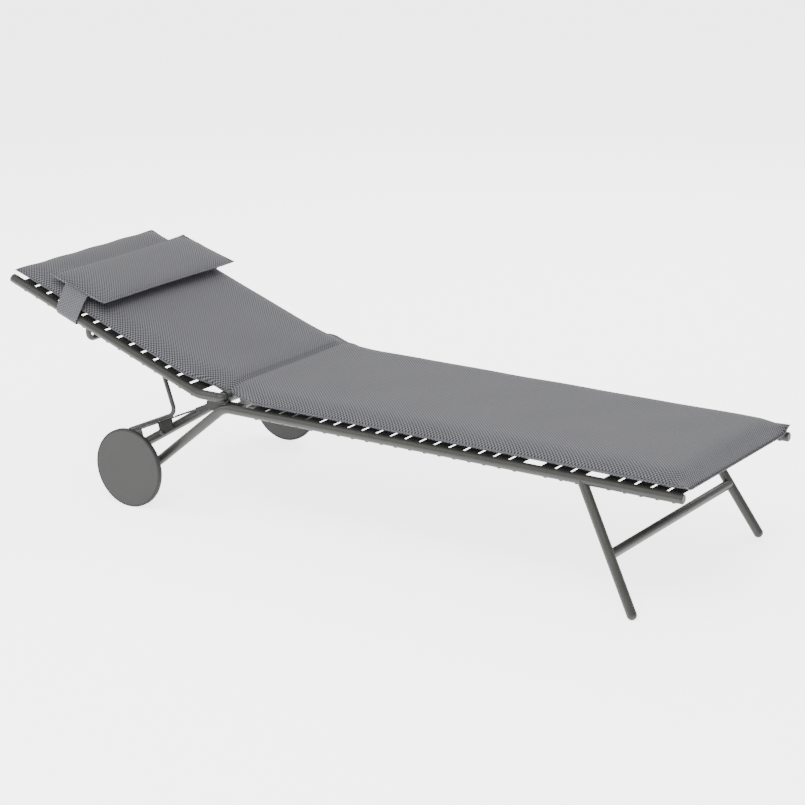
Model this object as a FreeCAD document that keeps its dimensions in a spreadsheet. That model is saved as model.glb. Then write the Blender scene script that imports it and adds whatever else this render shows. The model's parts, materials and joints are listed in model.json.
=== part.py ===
import FreeCAD, Part
import math
import os
import Sketcher
from FreeCAD import Placement, Rotation, Vector

# Reclining sun lounger: a tube frame on two front legs and two wheels, with a hinged back held up
# by bent prop rods, elastic straps, a thin folded pad and a head pillow.
# The foot end is +X, up is +Z and the lying person's right side is -Y. Lengths are millimetres.
# Places are worked out from the corner where the seat rails bend down into the rear legs, and
# the whole model is then shifted so that its origin is on the floor under its middle.

SIZES = {
    # seat frame
    "tube_dia": 25.0,
    "tube_wall": 1.5,
    "rail_half": 287.0,
    "rail_height": 300.0,
    "rail_length": 1330.0,
    "frame_bend": 60.0,
    "rear_leg_angle": 39.7,
    "plug_length": 7.0,
    "plug_round": 4.0,
    "plug_depth": 22.0,
    "plug_slack": 0.1,
    # front legs
    "leg_setback": 270.0,
    "leg_lean": 172.0,
    "leg_splay": 55.0,
    "leg_bar_share": 0.563,
    "foot_flat": 0.7,
    "cope_reach": 60.0,
    # wheels
    "wheel_radius": 107.0,
    "wheel_setback": 270.0,
    "wheel_width": 13.0,
    "wheel_face": 358.0,
    "tyre_depth": 6.0,
    "tyre_round": 3.0,
    "axle_dia": 10.0,
    "axle_run": 0.05,
    "bush_dia": 18.0,
    "hub_dia": 40.0,
    "hub_length": 41.0,
    "cap_depth": 8.0,
    "tip_room": 6.0,
    "tip_out": 3.0,
    "axle_head_dia": 17.0,
    "axle_head": 5.0,
    "washer_dia": 16.0,
    "washer_gap": 0.3,
    "circlip_gap": 0.5,
    "circlip_thick": 1.5,
    "boss_dia": 20.0,
    "boss_length": 31.0,
    # recline hinge
    "hinge_setback": 7.0,
    "hinge_gap": 0.5,
    "pivot_run": 0.25,
    "elbow_radius": 13.0,
    "stub_length": 75.0,
    "block_width": 16.0,
    "block_wall": 3.5,
    "block_socket": 8.0,
    "block_foot": 58.0,
    "block_foot_height": 22.0,
    "screw_dia": 6.0,
    "screw_head_dia": 11.0,
    "screw_head": 3.0,
    "screw_setback": 20.0,
    "screw_pitch": 22.0,
    # back frame
    "recline": 19.8,
    "back_length": 670.0,
    "back_bend": 70.0,
    "brace_dia": 15.0,
    "brace_setback": 391.0,
    "brace_drop": 40.0,
    "brace_bend": 20.0,
    # prop rods and racks
    "prop_dia": 12.0,
    "prop_half": 258.0,
    "prop_pivot": 158.0,
    "prop_tail": 171.0,
    "prop_bend": 24.0,
    "prop_pin": 10.0,
    "bush_length": 16.0,
    "bush_wall": 2.0,
    "flange_rim": 3.0,
    "flange_thick": 3.0,
    "flange_proud": 4.0,
    "peg_dia": 8.0,
    "rack_angle": 24.1,
    "rack_front": 80.0,
    "rack_back": 395.0,
    "rack_height": 5.0,
    "rack_plate": 4.0,
    "rack_gap": 0.6,
    "tab_length": 50.0,
    "tab_start": 225.0,
    "tab_pitch": 115.0,
    "tab_shift": 10.0,
    "tab_reach": 7.0,
    "bolt_depth": 8.0,
    "stop_start": 128.0,
    "stop_length": 56.0,
    "stop_width": 8.0,
    "stop_height": 11.0,
    "stop_base": 4.0,
    "notch_count": 4,
    "notch_step": 8.3,
    "notch_depth": 2.5,
    "arm_angle": 31.7,
    "arm_half": 230.0,
    "arm_top": 51.0,
    # straps
    "strap_width": 36.0,
    "strap_pitch": 42.8,
    "strap_thick": 2.5,
    "clip_width": 6.0,
    "clip_thick": 1.6,
    "clip_gap": 0.1,
    "clip_sweep": 155.0,
    "clip_rise": 35.0,
    "strap_inset": 1.0,
    "seat_strap_stop": 80.0,
    "back_strap_stop": -2.2,
    "back_strap_room": 25.0,
    # pad and pillow
    "pad_half": 290.0,
    "pad_thick": 42.0,
    "pad_gap": 0.5,
    "pad_inset": 8.0,
    "fold_gap": 13.0,
    "notch_half": 255.0,
    "seat_notch": 12.0,
    "back_notch": 90.0,
    "pillow_length": 192.0,
    "pillow_half": 287.5,
    "pillow_thick": 40.0,
    "pillow_setback": 360.0,
    "crown_thick": 0.62,
    "crown_length": 0.68,
    "crown_width": 1.3,
    "flap_width": 79.0,
    "flap_thick": 1.6,
    "flap_run": 66.0,
    "flap_lean": 12.0,
    "flap_under": 20.0,
    "flap_gap": 0.6,
}
SEAT_GAPS = (5, 9)
SIDES = {"right": -1, "left": 1}
X_AXIS = Vector(1, 0, 0)
Y_AXIS = Vector(0, 1, 0)
Z_AXIS = Vector(0, 0, 1)

doc = FreeCAD.newDocument("sun_lounger")
sheet = doc.addObject("Spreadsheet::Sheet", "Sizes")
for row, (alias, number) in enumerate(SIZES.items(), start=1):
    sheet.set(f"A{row}", alias)
    sheet.set(f"B{row}", str(number))
    sheet.setAlias(f"B{row}", alias)
doc.recompute()

nodes = {}


# ---------------------------------------------------------------- helpers

def size(alias):
    """Number held in the sheet."""
    return float(sheet.get(alias))


def keep(name, obj):
    """Make an object a sub-part: its label names its node."""
    obj.Label = name
    nodes[name] = obj
    return obj


def bind(obj, **expressions):
    """Tie properties of an object to expressions in the sheet's sizes."""
    for prop, expression in expressions.items():
        obj.setExpression(prop, expression)
    return obj


def cylinder(name, radius, length, start, direction):
    """Solid cylinder from a start point along a direction."""
    obj = doc.addObject("Part::Cylinder", name)
    bind(obj, Radius=radius, Height=length)
    obj.Placement = Placement(start, Rotation(Z_AXIS, direction))
    return obj


def box(name, length, width, height, corner, turn=Rotation()):
    """Box from its lowest corner."""
    obj = doc.addObject("Part::Box", name)
    bind(obj, Length=length, Width=width, Height=height)
    obj.Placement = Placement(corner, turn)
    return obj


def cut(name, base, *tools):
    """Base less every tool, one after the other."""
    for count, tool in enumerate(tools, start=1):
        obj = doc.addObject("Part::Cut", f"{name}_cut{count}")
        obj.Base = base
        obj.Tool = tool
        base = obj
    return base


def fuse(name, *pieces):
    """One solid of several that touch."""
    obj = doc.addObject("Part::MultiFuse", f"{name}_fuse")
    obj.Shapes = list(pieces)
    return obj


def group(name, pieces):
    """Separate solids in one node."""
    obj = doc.addObject("Part::Compound", f"{name}_group")
    obj.Links = list(pieces)
    return obj


def bar(name, radius, start, end):
    """Solid round bar between two points."""
    obj = doc.addObject("Part::Cylinder", name)
    bind(obj, Radius=radius)
    obj.Height = (end - start).Length
    obj.Placement = Placement(start, Rotation(Z_AXIS, end - start))
    return obj


def tube(name, start, end):
    """Straight round tube of the frame's section between two points."""
    return cut(name, bar(f"{name}_outer", TUBE_R, start, end), bar(f"{name}_inner", BORE_R, start, end))


def plane_of(body, role):
    """Origin plane of a body, found by its role."""
    return next(item for item in body.Origin.OriginFeatures if item.Role == role)


def new_sketch(body, name, role):
    """Sketch attached to an origin plane of its own body."""
    sketch = body.newObject("Sketcher::SketchObject", name)
    sketch.AttachmentSupport = (plane_of(body, role), [""])
    sketch.MapMode = "FlatFace"
    return sketch


def hold_point(sketch, geometry, position, across, up):
    """Hold a point of a sketch at two expressions from the sketch's origin."""
    for kind, expression in (("DistanceX", across), ("DistanceY", up)):
        index = sketch.addConstraint(Sketcher.Constraint(kind, -1, 1, geometry, position, 0.0))
        sketch.setExpression(f"Constraints[{index}]", expression)


def path_sketch(body, name, role, corners, bend):
    """Open path through corners, each inner corner rounded by the same bend radius."""
    sketch = new_sketch(body, name, role)
    for index, (across, up) in enumerate(corners):
        sketch.addGeometry(Part.Point(Vector(10.0 * index, index % 2, 0)), True)
        hold_point(sketch, index, 1, across, up)
    doc.recompute()
    spots = [Vector(item.X, item.Y, 0) for item in sketch.Geometry]
    runs = []
    arcs = []
    start = spots[0]
    for before, corner, after in zip(spots, spots[1:], spots[2:]):
        arrive = (corner - before).normalize()
        leave = (after - corner).normalize()
        turn = arrive.getAngle(leave)
        reach = size(bend) * math.tan(turn / 2)
        into = corner - arrive * reach
        out = corner + leave * reach
        inwards = (leave - arrive).normalize()
        centre = corner + inwards * (size(bend) / math.cos(turn / 2))
        left_turn = arrive.cross(leave).z > 0
        first = into if left_turn else out
        start_angle = math.atan2(first.y - centre.y, first.x - centre.x)
        circle = Part.Circle(centre, Z_AXIS, size(bend))
        runs.append(sketch.addGeometry(Part.LineSegment(start, into)))
        arcs.append((sketch.addGeometry(Part.ArcOfCircle(circle, start_angle, start_angle + turn)),
                     1 if left_turn else 2))
        start = out
    runs.append(sketch.addGeometry(Part.LineSegment(start, spots[-1])))
    sketch.addConstraint(Sketcher.Constraint("Coincident", runs[0], 1, 0, 1))
    sketch.addConstraint(Sketcher.Constraint("Coincident", runs[-1], 2, len(spots) - 1, 1))
    for index, (arc, first) in enumerate(arcs):
        sketch.addConstraint(Sketcher.Constraint("Tangent", runs[index], 2, arc, first))
        sketch.addConstraint(Sketcher.Constraint("Tangent", arc, 3 - first, runs[index + 1], 1))
        sketch.addConstraint(Sketcher.Constraint("PointOnObject", index + 1, 1, runs[index]))
        sketch.addConstraint(Sketcher.Constraint("PointOnObject", index + 1, 1, runs[index + 1]))
        held = sketch.addConstraint(Sketcher.Constraint("Radius", arc, size(bend)))
        sketch.setExpression(f"Constraints[{held}]", f"Sizes.{bend}")
    return sketch


def bent_tube(name, path_role, profile_role, corners, bend, outer, inner=None):
    """Tube or rod swept along a flat path that starts at its own origin."""
    body = doc.addObject("PartDesign::Body", name)
    path = path_sketch(body, f"{name}_path", path_role, corners, bend)
    ring = new_sketch(body, f"{name}_ring", profile_role)
    for radius in [outer] + ([inner] if inner else []):
        circle = ring.addGeometry(Part.Circle(Vector(), Z_AXIS, 5.0))
        ring.addConstraint(Sketcher.Constraint("Coincident", circle, 3, -1, 1))
        held = ring.addConstraint(Sketcher.Constraint("Radius", circle, 5.0 + len(ring.Geometry)))
        ring.setExpression(f"Constraints[{held}]", radius)
    doc.recompute()
    pipe = body.newObject("PartDesign::AdditivePipe", f"{name}_sweep")
    pipe.Profile = ring
    pipe.Spine = (path, [f"Edge{number}" for number in range(1, len(path.Shape.Edges) + 1)])
    doc.recompute()
    return body


def plate(name, corners, thickness):
    """Flat plate cut to an outline in the XZ plane, its thickness along -Y."""
    body = doc.addObject("PartDesign::Body", name)
    outline = new_sketch(body, f"{name}_outline", "XZ_Plane")
    count = len(corners)
    spots = [Vector(100 * math.cos(2 * math.pi * i / count), 100 * math.sin(2 * math.pi * i / count), 0)
             for i in range(count)]
    for index in range(count):
        outline.addGeometry(Part.LineSegment(spots[index], spots[(index + 1) % count]))
    for index in range(count):
        following = (index + 1) % count
        outline.addConstraint(Sketcher.Constraint("Coincident", index, 2, following, 1))
        hold_point(outline, index, 1, *corners[index])
    doc.recompute()
    pad = body.newObject("PartDesign::Pad", f"{name}_pad")
    pad.Profile = outline
    bind(pad, Length=thickness)
    doc.recompute()
    return body


def rounded(name, obj, radius, at_end):
    """Fillet the circular edges of an object whose centre passes a test."""
    doc.recompute()
    edge_list = []
    for number, edge in enumerate(obj.Shape.Edges, start=1):
        if isinstance(edge.Curve, Part.Circle) and at_end(edge.Curve.Center, edge.Curve.Radius):
            edge_list.append((number, radius, radius))
    fillet = doc.addObject("Part::Fillet", f"{name}_round")
    fillet.Base = obj
    fillet.Edges = edge_list
    return fillet


def end_plug(name, place):
    """Rounded plug in a tube's end: local +X points out of the tube."""
    head = cylinder(f"{name}_head", TUBE_R, "Sizes.plug_length", Vector(), X_AXIS)
    head = rounded(name, head, size("plug_round"), lambda centre, _: centre.x > size("plug_length") / 2)
    stem = cylinder(f"{name}_stem", f"{BORE_R} - Sizes.plug_slack", "Sizes.plug_depth", Vector(), -X_AXIS)
    plug = fuse(name, head, stem)
    plug.Placement = place
    return plug


# ---------------------------------------------------------------- sizes used in many places

TUBE_R = "Sizes.tube_dia / 2"
BORE_R = "Sizes.tube_dia / 2 - Sizes.tube_wall"
SCREW_R = "Sizes.screw_dia / 2"
tube_r = size("tube_dia") / 2
rail_half = size("rail_half")
rail_z = size("rail_height")
rail_run = size("rail_length") - size("plug_length")
recline = math.radians(size("recline"))
rear_slope = math.radians(size("rear_leg_angle"))
rack_slope = math.radians(size("rack_angle"))
arm_slope = math.radians(size("arm_angle"))
hinge = Vector(-size("hinge_setback"), 0, rail_z + size("tube_dia") + size("hinge_gap"))
corner = hinge - X_AXIS * size("stub_length")
along_back = Vector(-math.cos(recline), 0, math.sin(recline))
off_back = Vector(math.sin(recline), 0, math.cos(recline))
back_frame = Placement(corner, Rotation(Y_AXIS, size("recline")))
ray = Vector(-math.cos(rack_slope), 0, -math.sin(rack_slope))
ray_up = Vector(-math.sin(rack_slope), 0, math.cos(rack_slope))
arm_line = Vector(-math.cos(arm_slope), 0, -math.sin(arm_slope))
arm_up = Vector(-math.sin(arm_slope), 0, math.cos(arm_slope))
axle = Vector(-size("wheel_setback"), 0, size("wheel_radius"))
tie = hinge + arm_line * ((hinge.z - axle.z) / math.sin(arm_slope))
cross = hinge + arm_line * size("arm_top")
pivot = corner + along_back * size("prop_pivot")
pivot_reach = (pivot - hinge).Length
pivot_rise = math.atan2(pivot.z - hinge.z, hinge.x - pivot.x)


def peg_reach(raise_deg):
    """Distance of the prop's peg from the hinge when the back is raised by an angle."""
    return 2 * pivot_reach * math.cos(pivot_rise + rack_slope + math.radians(raise_deg))


peg = hinge + ray * peg_reach(0)
knee = peg - ray * size("prop_tail")


# ---------------------------------------------------------------- base frame


leg_tops = {}
leg_feet = {}
for side, sign in SIDES.items():
    y_rail = Y_AXIS * (sign * rail_half)
    # seat rail and rear leg are one tube: it runs level at axle height behind the wheel, climbs to
    # the bend and runs on to the foot end
    rise = "(Sizes.rail_height - Sizes.wheel_radius)"
    hinge_rise = "(Sizes.rail_height + Sizes.tube_dia + Sizes.hinge_gap - Sizes.wheel_radius)"
    bend = f"(Sizes.hinge_setback + {hinge_rise} / tan(Sizes.arm_angle * 1deg))"
    level = f"{bend} - {rise} / tan(Sizes.rear_leg_angle * 1deg)"
    frame_tube = bent_tube(
        f"side_tube_{side}", "XZ_Plane", "YZ_Plane",
        [("0", "0"), (level, "0"), (bend, rise), (f"{bend} + Sizes.rail_length - Sizes.plug_length", rise)],
        "frame_bend", TUBE_R, BORE_R)
    frame_tube.Placement = Placement(tie + y_rail, Rotation())
    inner_face = rail_half - size("boss_length") / 2
    boss_start = axle + Y_AXIS * (sign * inner_face)
    boss_room = cylinder(f"boss_room_{side}", "Sizes.boss_dia / 2", "Sizes.boss_length",
                         boss_start, Y_AXIS * sign)
    tie_in = tie + Y_AXIS * (sign * (size("arm_half") - tube_r))
    tie_out = tie + Y_AXIS * (sign * (rail_half + tube_r))
    tie_room = bar(f"tie_room_{side}", TUBE_R, tie_in, tie_out)
    keep(f"side_frame_{side}", cut(f"side_frame_{side}", frame_tube, boss_room, tie_room))

    boss = cylinder(f"boss_{side}", "Sizes.boss_dia / 2", "Sizes.boss_length", boss_start, Y_AXIS * sign)
    boss_bore = cylinder(f"boss_bore_{side}", "Sizes.axle_dia / 2", "Sizes.boss_length",
                         boss_start, Y_AXIS * sign)
    keep(f"axle_boss_{side}", cut(f"axle_boss_{side}", boss, boss_bore))

    keep(f"rear_tie_{side}", tube(f"rear_tie_{side}", tie_in, tie_out))

    # front leg: leans towards the foot end and splays outwards
    top = X_AXIS * (size("rail_length") - size("leg_setback")) + y_rail + Z_AXIS * rail_z
    foot = top + X_AXIS * size("leg_lean") + Y_AXIS * (sign * size("leg_splay"))
    foot.z = tube_r - size("foot_flat")
    leg_tops[side] = top
    leg_feet[side] = foot
    rail_room = bar(f"rail_room_{side}", TUBE_R, top - X_AXIS * size("cope_reach"),
                    top + X_AXIS * size("cope_reach"))
    keep(f"front_leg_{side}", cut(f"front_leg_{side}", tube(f"leg_tube_{side}", top, foot), rail_room))

    dome = doc.addObject("Part::Sphere", f"foot_dome_{side}")
    bind(dome, Radius=TUBE_R)
    dome.Angle1 = 0
    dome.Placement = Placement(foot, Rotation(Z_AXIS, foot - top))
    stem = cylinder(f"foot_stem_{side}", f"{BORE_R} - Sizes.plug_slack", "Sizes.plug_depth", foot, top - foot)
    plug = fuse(f"foot_{side}", dome, stem)
    floor = box(f"floor_{side}", "Sizes.tube_dia * 2", "Sizes.tube_dia * 2", "Sizes.tube_dia",
                Vector(foot.x - 2 * tube_r, foot.y - 2 * tube_r, -2 * tube_r))
    keep(f"foot_plug_{side}", cut(f"foot_plug_{side}", plug, floor))

share = size("leg_bar_share")
bar_ends = [leg_tops[side] + (leg_feet[side] - leg_tops[side]) * share for side in SIDES]
legs_room = [bar(f"leg_room_{side}", TUBE_R, leg_tops[side], leg_feet[side]) for side in SIDES]
keep("front_crossbar", cut("front_crossbar", tube("crossbar_tube", *bar_ends), *legs_room))

foot_ends = [
    end_plug(f"rail_plug_{side}", Placement(Vector(rail_run, sign * rail_half, rail_z), Rotation()))
    for side, sign in SIDES.items()]
keep("seat_rail_plugs", group("seat_rail_plugs", foot_ends))

# ---------------------------------------------------------------- hinge blocks and rear arms

block_in = rail_half - tube_r - size("block_width")
screw_spots = (size("screw_setback"), size("screw_setback") + size("screw_pitch"))
socket = Y_AXIS * (block_in + size("block_socket"))
screws = []
rack_bolts = []
arm_room = bar("arm_room", TUBE_R, cross - Y_AXIS * block_in, cross + Y_AXIS * block_in)
keep("base_cross_tube",
     tube("base_cross_tube", cross - socket, cross + socket))
for side, sign in SIDES.items():
    outwards = Y_AXIS * sign
    inner = outwards * block_in
    wide = "Sizes.block_width"
    hub = cylinder(f"block_hub_{side}", f"{TUBE_R} + Sizes.block_wall", wide, hinge + inner, outwards)
    seat = cylinder(f"block_seat_{side}", f"{TUBE_R} + Sizes.block_wall", wide, cross + inner, outwards)
    block_r = tube_r + size("block_wall")
    low_y = min(sign * block_in, sign * (block_in + size("block_width")))
    web = box(f"block_web_{side}", "Sizes.arm_top", wide, f"2 * ({TUBE_R} + Sizes.block_wall)",
              Vector(0, low_y, 0))
    turn = Rotation(Y_AXIS, -size("arm_angle"))
    web.Placement = Placement(cross + turn.multVec(Vector(0, 0, -block_r)) + Vector(0, low_y, 0), turn)
    foot_pad = box(f"block_foot_{side}", "Sizes.block_foot", wide, "Sizes.block_foot_height",
                   Vector(hinge.x, low_y, rail_z - size("block_foot_height") / 2))
    body = fuse(f"block_{side}", hub, seat, web, foot_pad)
    hub_bore = cylinder(f"hub_bore_{side}", f"{TUBE_R} + Sizes.pivot_run", wide, hinge + inner, outwards)
    seat_bore = cylinder(f"seat_bore_{side}", TUBE_R, "Sizes.block_socket", cross + inner, outwards)
    screw_holes = [
        cylinder(f"screw_hole_{side}_{spot:.0f}", SCREW_R, wide, Vector(spot, 0, rail_z) + inner, outwards)
        for spot in screw_spots]
    keep(f"hinge_block_{side}", cut(f"hinge_block_{side}", body, hub_bore, seat_bore, *screw_holes))
    for spot in screw_spots:
        shank = cylinder(f"screw_shank_{side}_{spot:.0f}", SCREW_R, f"{wide} + 3 * Sizes.tube_wall",
                         Vector(spot, 0, rail_z) + inner, outwards)
        head = cylinder(f"screw_head_{side}_{spot:.0f}", "Sizes.screw_head_dia / 2", "Sizes.screw_head",
                        Vector(spot, 0, rail_z) + inner, -outwards)
        screws.append(fuse(f"hinge_screw_{side}_{spot:.0f}", shank, head))

    # rear arm: inboard of the side frame, from the cross tube down to the tie behind the wheel
    arm_y = outwards * size("arm_half")
    arm = tube(f"arm_tube_{side}", cross + arm_y, tie + arm_y)
    tie_clear = bar(f"tie_clear_{side}", TUBE_R, tie, tie + outwards * rail_half)
    keep(f"rear_arm_{side}", cut(f"rear_arm_{side}", arm, arm_room, tie_clear))
keep("hinge_screws", group("hinge_screws", screws))

# ---------------------------------------------------------------- racks

rack_drop = size("peg_dia") / 2 + size("rack_gap")
rack_in = size("arm_half") + tube_r
rack_out = rack_in + size("rack_plate")


def on_ray(distance, below):
    """Point at a distance from the hinge along the rack's line, and below that line."""
    return hinge + ray * distance - ray_up * below


def on_arm(distance, below):
    """Point at a distance from the hinge along the rear arm, and below its middle line."""
    return hinge + arm_line * distance - arm_up * below


tab_starts = (size("tab_start"), size("tab_start") + size("tab_pitch"))
for side, sign in SIDES.items():
    outline = [on_ray(size("rack_front"), rack_drop)]
    outline.append(on_ray(size("rack_back"), rack_drop))
    outline.append(on_ray(size("rack_back"), rack_drop + size("rack_height")))
    for near in reversed(tab_starts):
        far = near + size("tab_length")
        outline.append(on_ray(far, rack_drop + size("rack_height")))
        outline.append(on_arm(far + size("tab_shift"), size("tab_reach")))
        outline.append(on_arm(near + size("tab_shift"), size("tab_reach")))
        outline.append(on_ray(near, rack_drop + size("rack_height")))
    outline.append(on_ray(size("rack_front"), rack_drop + size("rack_height")))
    corners = [(f"{spot.x:.4f}", f"{spot.z:.4f}") for spot in outline]
    strip = plate(f"rack_plate_{side}", corners, "Sizes.rack_plate")
    # the plate's thickness runs along -Y from its sketch
    strip.Placement = Placement(Y_AXIS * (rack_out if sign > 0 else -rack_in), Rotation())
    cutters = []
    for notch in range(int(size("notch_count"))):
        spot = on_ray(peg_reach(notch * size("notch_step")),
                      rack_drop + size("notch_depth") - size("peg_dia") / 2)
        cutters.append(cylinder(f"notch_{side}_{notch}", "Sizes.peg_dia / 2", "Sizes.rack_plate",
                                spot + Y_AXIS * (sign * rack_in), Y_AXIS * sign))
    for number, near in enumerate(tab_starts):
        spot = on_arm(near + size("tab_length"), 0)
        start = spot + Y_AXIS * (sign * (rack_in - size("bolt_depth")))
        through = "Sizes.bolt_depth + Sizes.rack_plate"
        cutters.append(cylinder(f"bolt_hole_{side}_{number}", SCREW_R, through, start, Y_AXIS * sign))
        shank = cylinder(f"bolt_shank_{side}_{number}", SCREW_R, through, start, Y_AXIS * sign)
        head = cylinder(f"bolt_head_{side}_{number}", "Sizes.screw_head_dia / 2", "Sizes.screw_head",
                        spot + Y_AXIS * (sign * rack_out), Y_AXIS * sign)
        rack_bolts.append(fuse(f"rack_bolt_{side}_{number}", shank, head))
    keep(f"rack_{side}", cut(f"rack_{side}", strip, *cutters))

    # front stop: a moulded block round the front end of the rack, outboard of the arm
    stop_turn = Rotation(Y_AXIS, -size("rack_angle"))
    bottom = rack_drop + size("rack_height")
    stop_y = Y_AXIS * (rack_in if sign > 0 else -rack_in - size("stop_width"))
    stop = box(f"stop_{side}", "Sizes.stop_length", "Sizes.stop_width", "Sizes.stop_height",
               on_ray(size("stop_start"), bottom + size("stop_base")) + stop_y, stop_turn)
    plate_y = Y_AXIS * (rack_in if sign > 0 else -rack_out)
    slot = box(f"stop_slot_{side}", "Sizes.stop_length", "Sizes.rack_plate", "Sizes.rack_height",
               on_ray(size("stop_start"), bottom) + plate_y, stop_turn)
    keep(f"rack_stop_{side}", cut(f"rack_stop_{side}", stop, slot))
keep("rack_bolts", group("rack_bolts", rack_bolts))

# ---------------------------------------------------------------- wheels and axles

washers = []
clips = []
for side, sign in SIDES.items():
    outwards = Y_AXIS * sign
    disc_start = axle + outwards * (size("wheel_face") - size("wheel_width"))
    hub_start = axle + outwards * (size("wheel_face") - size("wheel_width") - size("hub_length"))
    disc = cylinder(f"disc_{side}", "Sizes.wheel_radius - Sizes.tyre_depth", "Sizes.wheel_width",
                    disc_start, outwards)
    hub = cylinder(f"hub_{side}", "Sizes.hub_dia / 2", "Sizes.hub_length", hub_start, outwards)
    room = cylinder(f"hub_room_{side}", "Sizes.bush_dia / 2", "Sizes.hub_length + Sizes.tip_room",
                    hub_start, outwards)
    keep(f"wheel_disc_{side}", cut(f"wheel_disc_{side}", fuse(f"wheel_{side}", disc, hub), room))

    rim = cylinder(f"rim_{side}", "Sizes.wheel_radius", "Sizes.wheel_width", disc_start, outwards)
    rim = rounded(f"rim_{side}", rim, size("tyre_round"), lambda centre, radius: True)
    rim_room = cylinder(f"rim_room_{side}", "Sizes.wheel_radius - Sizes.tyre_depth", "Sizes.wheel_width",
                        disc_start, outwards)
    keep(f"tyre_{side}", cut(f"tyre_{side}", rim, rim_room))

    bush = cylinder(f"bush_{side}", "Sizes.bush_dia / 2", "Sizes.hub_length - Sizes.cap_depth",
                    hub_start, outwards)
    bush_bore = cylinder(f"bush_bore_{side}", "Sizes.axle_dia / 2 + Sizes.axle_run",
                         "Sizes.hub_length - Sizes.cap_depth", hub_start, outwards)
    keep(f"hub_bush_{side}", cut(f"hub_bush_{side}", bush, bush_bore))

    boss_in = rail_half - size("boss_length") / 2
    boss_out = rail_half + size("boss_length") / 2
    hub_in = size("wheel_face") - size("wheel_width") - size("hub_length")
    tip = hub_in + size("hub_length") + size("tip_out")
    shank = bar(f"axle_shank_{side}", "Sizes.axle_dia / 2", axle + outwards * boss_in, axle + outwards * tip)
    head = cylinder(f"axle_head_{side}", "Sizes.axle_head_dia / 2", "Sizes.axle_head",
                    axle + outwards * boss_in, -outwards)
    keep(f"axle_pin_{side}", fuse(f"axle_pin_{side}", shank, head))

    circlip_in = hub_in + size("hub_length") - size("cap_depth") + size("circlip_gap")
    for pieces, label, near, far in (
            (washers, "washer", boss_out, hub_in - size("washer_gap")),
            (clips, "circlip", circlip_in, circlip_in + size("circlip_thick"))):
        ends = axle + outwards * near, axle + outwards * far
        ring = bar(f"{label}_{side}", "Sizes.washer_dia / 2", *ends)
        pieces.append(cut(f"{label}_{side}", ring, bar(f"{label}_hole_{side}", "Sizes.axle_dia / 2", *ends)))
keep("axle_washers", group("axle_washers", washers))
keep("axle_clips", group("axle_clips", clips))

# ---------------------------------------------------------------- back frame

back_plugs = []
for side, sign in SIDES.items():
    y_rail = Y_AXIS * (sign * rail_half)
    length = "(Sizes.back_length - Sizes.plug_length)"
    stub = "(Sizes.stub_length - Sizes.elbow_radius)"
    rail = bent_tube(
        f"back_tube_{side}", "XZ_Plane", "YZ_Plane",
        [("0", "0"), (length, "0"),
         (f"{length} + {stub} * cos(Sizes.recline * 1deg)", f"{stub} * sin(Sizes.recline * 1deg)")],
        "back_bend", TUBE_R, BORE_R)
    start = Vector(size("plug_length") - size("back_length"), sign * rail_half, 0)
    rail.Placement = back_frame.multiply(Placement(start, Rotation()))
    bush_seat = pivot + Y_AXIS * (sign * (rail_half - tube_r - size("flange_proud")))
    bush_outer = "Sizes.prop_dia / 2 + Sizes.bush_wall"
    bush_room = cylinder(f"bush_room_{side}", bush_outer, "Sizes.bush_length", bush_seat, Y_AXIS * sign)
    keep(f"back_rail_{side}", cut(f"back_rail_{side}", rail, bush_room))

    flange = cylinder(f"prop_flange_{side}", "Sizes.prop_dia / 2 + Sizes.flange_rim",
                      "Sizes.flange_thick", bush_seat, Y_AXIS * sign)
    sleeve = cylinder(f"prop_sleeve_{side}", bush_outer, "Sizes.bush_length", bush_seat, Y_AXIS * sign)
    bore = cylinder(f"prop_bore_{side}", "Sizes.prop_dia / 2 + Sizes.pivot_run", "Sizes.bush_length",
                    bush_seat, Y_AXIS * sign)
    keep(f"prop_bush_{side}", cut(f"prop_bush_{side}", fuse(f"bush_{side}", flange, sleeve), bore))

    # cast elbow that turns the stub inwards into its bearing block
    elbow = doc.addObject("Part::Torus", f"elbow_{side}")
    bind(elbow, Radius1="Sizes.elbow_radius", Radius2=TUBE_R)
    elbow.Angle3 = 90
    centre = hinge + Vector(-size("elbow_radius"), sign * (rail_half - size("elbow_radius")), 0)
    elbow.Placement = Placement(centre, Rotation(Z_AXIS, 0 if sign > 0 else -90))
    spigot = cylinder(f"spigot_{side}", TUBE_R, "Sizes.block_width",
                      hinge + Y_AXIS * (sign * (rail_half - size("elbow_radius"))), -Y_AXIS * sign)
    keep(f"back_pivot_{side}", fuse(f"back_pivot_{side}", elbow, spigot))

    place = back_frame.multiply(Placement(start, Rotation(Z_AXIS, 180)))
    back_plugs.append(end_plug(f"back_plug_{side}", place))
keep("back_rail_plugs", group("back_rail_plugs", back_plugs))

# brace: drops straight down from both back rails and crosses below the straps
half = "Sizes.rail_half"
brace = bent_tube(
    "brace_rod", "YZ_Plane", "XY_Plane",
    [("0", "0"), ("0", "-Sizes.brace_drop"), (f"2 * {half}", "-Sizes.brace_drop"), (f"2 * {half}", "0")],
    "brace_bend", "Sizes.brace_dia / 2", "Sizes.brace_dia / 2 - Sizes.tube_wall")
brace_at = corner + along_back * size("brace_setback")
brace.Placement = Placement(brace_at - Y_AXIS * rail_half, Rotation())
cope = along_back * size("cope_reach")
brace_rooms = [
    bar(f"brace_room_{side}", TUBE_R, brace_at + Y_AXIS * (sign * rail_half) - cope,
        brace_at + Y_AXIS * (sign * rail_half) + cope)
    for side, sign in SIDES.items()]
keep("back_brace", cut("back_brace", brace, *brace_rooms))

# ---------------------------------------------------------------- prop rods

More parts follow.
